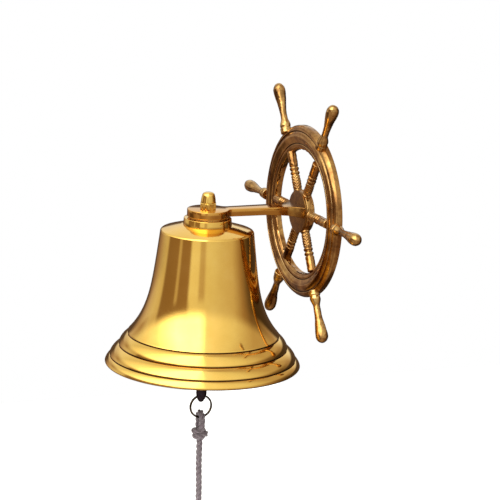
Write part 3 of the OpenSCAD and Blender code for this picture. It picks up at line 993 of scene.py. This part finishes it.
def build_clapper(material):
    """A rod with a ball and a thicker tail that has a cross hole, and a wire eye on top."""
    ball_r, ball_z, tail_r, round_z = 11.5, -97, 4, -140.7
    outline = [(0, -42.8), (2.4, -42.8), (3, -46.8), (3, -85.9)]
    ball = np.radians(np.arange(15, 163, 4))
    outline += [(ball_r * math.sin(a), ball_z + ball_r * math.cos(a)) for a in ball]
    outline += [(3.4, -108.6), (3.4, -112), (tail_r, -118), (tail_r, round_z)]
    quarter = np.linspace(0, math.pi / 2, 14)[1:]
    outline += [(tail_r * math.cos(a), round_z - 7.5 * math.sin(a)) for a in quarter]
    outline[-1] = (0, TAIL_TIP)
    outline = spread(soften(outline, 0.8, least=25), 1.2)
    clapper = lathe("clapper_forged", outline, [material], segments=72)
    outward(clapper)
    roughen(clapper, [(6, 0.30, 2.0), (2.2, 0.16, 6.0)], lambda p: 1.0 if p[2] / MM < -43.5 else 0.2)
    turn_to(clapper, at_bell_axis())
    drill = lathe("drill", [(0, -8), (1.6, -8), (1.6, 8), (0, 8)], [material], segments=32)
    turn_to(drill, at_bell_axis(RING_HOLE_Z) @ OFF_WALL)
    outward(drill)
    cut = clapper.modifiers.new("cross_hole", "BOOLEAN")
    cut.object, cut.operation, cut.solver = drill, "DIFFERENCE", "EXACT"
    evaluated = clapper.evaluated_get(bpy.context.evaluated_depsgraph_get())
    mesh = bpy.data.meshes.new_from_object(evaluated)
    clapper.modifiers.clear()
    clapper.data = mesh
    bpy.data.objects.remove(drill)
    eye = wire_ring("clapper_eye", 4, 1.25, material)
    turn_to(eye, at_bell_axis(-38.8) @ OFF_WALL)
    join_into(clapper, eye)
    return finish_piece(clapper, "clapper", ["clapper"], reach=0.8, blur=1, sharp=50)


def wire_ring(name, radius, wire, material):
    around, sides = 64, 20
    verts, faces = [], []
    for i in range(around):
        a = 2 * math.pi * i / around
        for k in range(sides):
            b = 2 * math.pi * k / sides
            r = radius + wire * math.cos(b)
            verts.append((r * math.cos(a), r * math.sin(a), wire * math.sin(b)))
    for i in range(around):
        for k in range(sides):
            n, m = (i + 1) % around, (k + 1) % sides
            faces.append([i * sides + k, n * sides + k, n * sides + m, i * sides + m])
    return add_object(name, verts, faces, [material])


def join_into(obj, other):
    """Adds the other object's mesh to this one and removes the other object."""
    work = bmesh.new()
    work.from_mesh(obj.data)
    work.from_mesh(other.data)
    work.to_mesh(obj.data)
    work.free()
    bpy.data.objects.remove(other)


def build_split_ring(material):
    """Two turns of flattened wire, side by side, that step over each other at one place."""
    sides, per_turn = 16, 120
    half_r, half_a, half_gap = 0.74, 0.36, 0.375
    step_from, step_len = 0.86, 0.14
    count = 2 * per_turn
    verts = []
    for i in range(count + 1):
        t = i / per_turn
        a = 2 * math.pi * t + 2.2
        # At t = 1 this falls back to the first turn's side, which leaves one kinked row in the coil
        step = min(1.0, max(0.0, (t % 1.0 - step_from) / step_len)) if t <= 1.0 else 1.0
        shift = -half_gap + 2 * half_gap * (step * step * (3 - 2 * step))
        for k in range(sides):
            b = 2 * math.pi * k / sides
            r = RING_R + half_r * math.copysign(abs(math.cos(b)) ** 0.8, math.cos(b))
            h = shift + half_a * math.copysign(abs(math.sin(b)) ** 0.7, math.sin(b))
            verts.append((r * math.cos(a), r * math.sin(a), h))
    ring = add_object("split_ring_coil", verts, tube_faces(0, count + 1, sides), [material])
    turn_to(ring, at_bell_axis(RING_Z) @ Matrix.Rotation(math.radians(90), 4, "Y"))
    outward(ring)
    return finish_piece(ring, "ring", ["split_ring"], reach=0.3, blur=0, sharp=60)


# ---------------------------------------------------------------- light and stage


# Brightness of the light tent, as (degrees round the object, level). AROUND is level with the object,
# BEHIND a little higher, ROOF overhead and GROUND below.
AROUND = [(-180, 0.12), (-156, 0.10), (-146, 0.45), (-134, 0.66), (-118, 0.78), (-104, 0.74), (-98, 0.30),
          (-68, 0.32), (-65, 0.64), (-61, 0.62), (-58, 0.33), (-38, 0.35), (-33, 1.0), (-16, 0.97),
          (-12, 0.66), (-4, 0.64), (2, 0.90), (18, 0.86), (34, 0.78), (62, 0.70), (84, 0.40),
          (100, 0.18), (116, 0.06), (142, 0.07), (180, 0.12)]
ROOF = [(-180, 1.1), (-130, 0.9), (-95, 1.6), (-55, 3.8), (-8, 3.6), (6, 1.25), (60, 0.95), (100, 0.6),
        (140, 0.6), (180, 1.1)]
BEHIND = [(-180, 1.0), (-150, 0.7), (-132, 0.45), (-118, 0.72), (-104, 0.70), (-98, 0.30), (-58, 0.33),
          (-38, 0.38), (-30, 1.0), (2, 0.90), (34, 0.78), (62, 0.70), (84, 0.40), (100, 0.22), (116, 0.2),
          (142, 0.5), (160, 1.0), (180, 1.0)]
GROUND = [(-180, 0.10), (-158, 0.12), (-146, 0.33), (-126, 0.38), (-114, 0.14), (-92, 0.16), (-78, 0.46),
          (-56, 0.60), (-40, 0.40), (-22, 0.50), (0, 0.62), (24, 0.46), (48, 0.38), (78, 0.38), (92, 0.14),
          (120, 0.06), (150, 0.08), (180, 0.10)]


def warm(level, peak):
    """Dim parts of the tent are brown, bright ones are white.

    A colour stop only holds 0 to 1, so the level is divided by the peak of its list.
    """
    share = min(1.0, max(0.0, (level - 0.35) / 0.5))
    return (level / peak, level * (0.66 + 0.33 * share) / peak, level * (0.46 + 0.48 * share) / peak)


def add_world():
    """A light tent: a bright roof, and panels and darker gaps all round that the brass mirrors."""
    world = bpy.data.worlds.new("studio")
    world.use_nodes = True
    bpy.context.scene.world = world
    g = Graph(world.node_tree)
    direction = g.add("ShaderNodeTexCoord").outputs["Generated"]
    split = g.add("ShaderNodeSeparateXYZ")
    g.put(g.mapping(direction, rotation=(0, 0, math.radians(TENT_TURN))), split.inputs[0])
    turn = g.math("MULTIPLY_ADD", g.math("ARCTAN2", split.outputs[1], split.outputs[0]), 0.5 / math.pi, 0.5)
    height = g.math("MULTIPLY", g.math("ARCSINE", split.outputs[2]), 180 / math.pi)

    def panel(stops):
        peak = max(1.0, max(level for _, level in stops))
        colour = g.ramp(turn, [((angle + 180) / 360, warm(level, peak)) for angle, level in stops])
        return g.vector("MULTIPLY", colour, (peak, peak, peak))

    tone = g.mix(g.span(height, 6, 12), panel(AROUND), panel(BEHIND))
    tone = g.mix(g.span(height, 13, 26), tone, panel(ROOF))
    tone = g.mix(g.span(height, -4, -10), tone, panel(GROUND))
    tent = g.add("ShaderNodeBackground")
    g.put(tone, tent.inputs["Color"])
    plain = g.add("ShaderNodeBackground")
    plain.inputs["Color"].default_value = (1, 1, 1, 1)
    choose = g.add("ShaderNodeMixShader")
    g.put(g.add("ShaderNodeLightPath").outputs["Is Camera Ray"], choose.inputs[0])
    g.put(tent.outputs[0], choose.inputs[1])
    g.put(plain.outputs[0], choose.inputs[2])
    g.put(choose.outputs[0], g.add("ShaderNodeOutputWorld").inputs[0])


def add_floor():
    """A pale sheet far below. Mirror reflections skip it, since it would turn the wheel's faces pale."""
    mesh = bpy.data.meshes.new("floor")
    corners = [(x * FLOOR_HALF, y * FLOOR_HALF, FLOOR_Z) for x, y in ((-1, -1), (1, -1), (1, 1), (-1, 1))]
    mesh.from_pydata(corners, [], [(0, 1, 2, 3)])
    floor = bpy.data.objects.new("floor", mesh)
    bpy.context.scene.collection.objects.link(floor)
    floor.visible_glossy = False
    material, g, shader = new_material("floor_paper")
    grain = g.noise(object_point(g), 40, 2, 0.5)
    g.put(g.ramp(grain, [(0.3, (0.88, 0.88, 0.88)), (0.7, (0.92, 0.92, 0.92))]), shader.inputs["Base Color"])
    shader.inputs["Roughness"].default_value = 0.9
    shader.inputs["Emission Color"].default_value = (0.85, 0.93, 1.0, 1)
    shader.inputs["Emission Strength"].default_value = 0.3
    mesh.materials.append(material)


# ---------------------------------------------------------------- the whole scene


def main():
    add_camera()
    bpy.context.scene.view_settings.view_transform = "Standard"
    build_lanyard(cotton("cotton_rope"))

    golden = polished_brass("polished_brass_turned")
    arm_brass = polished_brass("polished_brass_arm", 0.6, dull_from=(-26, -10), tint=(0.80, 0.66, 0.62))
    aged = antique_brass("antique_brass_cast")
    rubbed = antique_brass("antique_brass_handles", mid=(0.50, 0.28, 0.09), bright=(0.80, 0.54, 0.20))
    iron = dark_iron("blued_iron")
    steel = ring_steel("split_ring_steel")
    plain = bolt_metal("machined_brass", (0.42, 0.25, 0.085), (0.70, 0.47, 0.18))
    zinc = bolt_metal("zinc_plate", (0.38, 0.38, 0.38), (0.62, 0.62, 0.60), 0.28)

    build_bell(golden, cast_inside("bell_inside"))
    build_collar(golden)
    build_arm(arm_brass)
    build_nut(golden)
    build_rim(aged)
    build_hub(aged)
    for i in range(6):
        build_spoke(i, aged)
        build_handle(i, rubbed)
    build_clapper(iron)
    build_split_ring(steel)

    # The hidden pieces keep their CAD meshes and only get materials
    for name, material in (("arm_screws", zinc), ("gap_washer", plain), ("stud", plain),
                           ("inner_washer", plain), ("inner_nut", plain), ("clapper_link", iron)):
        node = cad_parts[name]
        node.data.materials.clear()
        node.data.materials.append(material)

    add_world()
    add_floor()


main()
